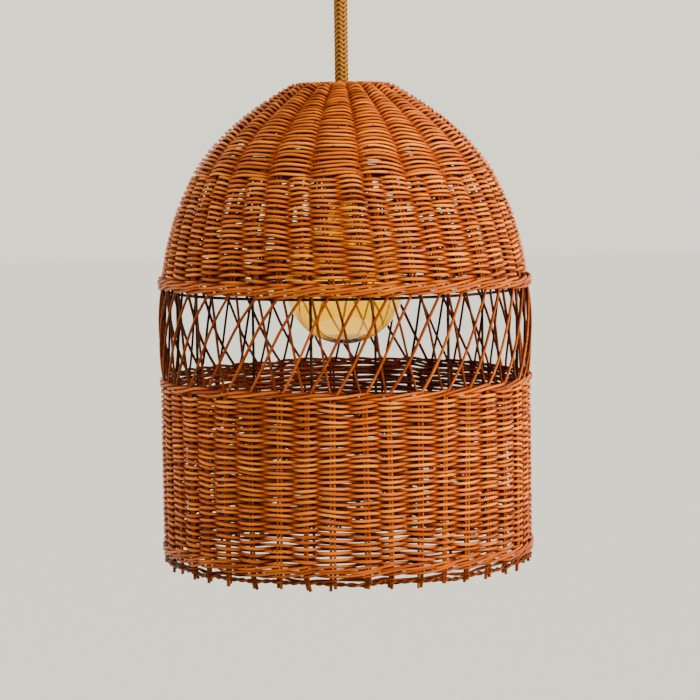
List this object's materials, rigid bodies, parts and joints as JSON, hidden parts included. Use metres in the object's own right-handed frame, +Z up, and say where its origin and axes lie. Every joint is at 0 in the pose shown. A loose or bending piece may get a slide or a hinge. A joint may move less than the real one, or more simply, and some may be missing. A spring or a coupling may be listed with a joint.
{
  "type": "pendant ceiling light",
  "caption": "Woven rattan pendant light: domed top, open lattice band and straight woven body round a globe bulb, hung on a plaited rope from a ceiling canopy.",
  "frame": {"origin": "centre of the ceiling bracket's upper face, midway between its two slots, where it meets the ceiling", "axes": "+Z up into the ceiling, +X along the bracket, the front of the lamp faces -Y"},
  "size_m": [0.3919, 0.392, 0.678],
  "materials": {
    "zinc": "zinc plated, dull",
    "canopy": "brown painted, satin",
    "brass": "satin",
    "flex": "flexible sheath",
    "white_plastic": "moulded",
    "jute": "plaited jute",
    "frame_wire": "dark lacquered wire",
    "honey_cane": "varnished rattan cane",
    "dark_cane": "varnished rattan cane, darker",
    "black_plastic": "moulded, semi gloss",
    "ceramic": "glazed",
    "cap_metal": "bright",
    "black_glass": "glassy",
    "amber_glass": "amber, clear",
    "stem_glass": "clear",
    "filament": "coated strip"
  },
  "bodies": {
    "ceiling": {"ceiling_bracket": "zinc", "ceiling_hook": "zinc", "hook_nut": "zinc", "canopy": "canopy", "canopy_screws": "brass"},
    "link": {"quick_link": "zinc", "link_sleeve": "brass"},
    "pendant": {"rope_eye": "zinc", "top_ferrule": "brass", "ferrule_screw": "zinc", "flex_tail": "flex", "terminal_block": "white_plastic", "terminal_screws": "brass", "rope": "jute", "hub_plate": "frame_wire", "rope_collar": "brass", "collar_screw": "brass", "frame_ribs": "frame_wire", "dome_ring": "frame_wire", "body_ring": "frame_wire", "bottom_ring": "frame_wire", "crown_weave": "honey_cane", "upper_dome_weave": "honey_cane", "lower_dome_weave": "honey_cane", "dome_rim_wale": "honey_cane", "lattice_right": "honey_cane", "lattice_left": "dark_cane", "body_top_wale": "honey_cane", "body_weave": "honey_cane", "bottom_wale": "honey_cane", "closing_twine": "dark_cane", "stake_ends": "dark_cane", "rope_cup": "brass", "nipple_nut": "brass", "holder_cap": "black_plastic", "holder_skirt": "black_plastic", "contact_block": "ceramic", "contact_screws": "brass", "centre_contact": "brass", "screw_shell": "brass", "lamp_wires": "flex"},
    "bulb": {"bulb_cap": "cap_metal", "bulb_insulator": "black_glass", "bulb_tip": "cap_metal", "bulb_globe": "amber_glass", "bulb_stem": "stem_glass", "filament": "filament"}
  },
  "joints": [
    {"name": "swing_front", "type": "hinge", "parent": "ceiling", "child": "link", "pos_m": [0, 0, -0.0235], "axis": [1, 0, 0], "range_deg": [-15, 15]},
    {"name": "swing_side", "type": "hinge", "parent": "link", "child": "pendant", "pos_m": [0, 0, -0.04], "axis": [0, 1, 0], "range_deg": [-15, 15]},
    {"name": "bulb_turn", "type": "hinge", "parent": "pendant", "child": "bulb", "pos_m": [0, 0, -0.385], "axis": [0, 0, 1], "range_deg": [0, 1080]}
  ]
}
